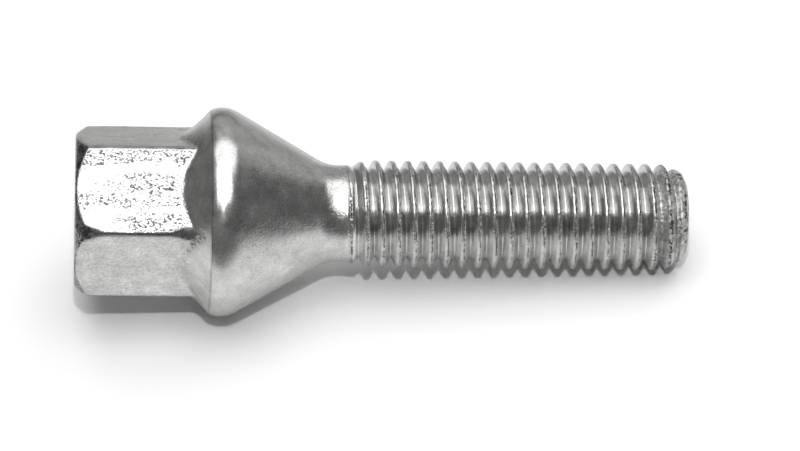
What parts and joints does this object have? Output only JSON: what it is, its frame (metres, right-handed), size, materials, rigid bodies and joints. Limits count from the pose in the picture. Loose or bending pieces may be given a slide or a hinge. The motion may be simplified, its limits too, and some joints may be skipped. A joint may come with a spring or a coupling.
{
  "type": "wheel bolt",
  "caption": "Forged steel wheel bolt with a hexagon head, a round collar, a conical seat and a long threaded shank. It clamps a car wheel to its hub.",
  "frame": {"origin": "centre of the head's flat end face, on which the bolt stands", "axes": "+Z along the bolt's axis from the head to the thread's tip, +Y out of one of the hexagon's flats"},
  "size_m": [0.0228, 0.0228, 0.0669],
  "materials": {
    "zinc_steel": "bright zinc plate on forged and rolled steel, satin and lightly mottled"
  },
  "bodies": {
    "root": {"wheel_bolt": "zinc_steel"}
  },
  "joints": []
}
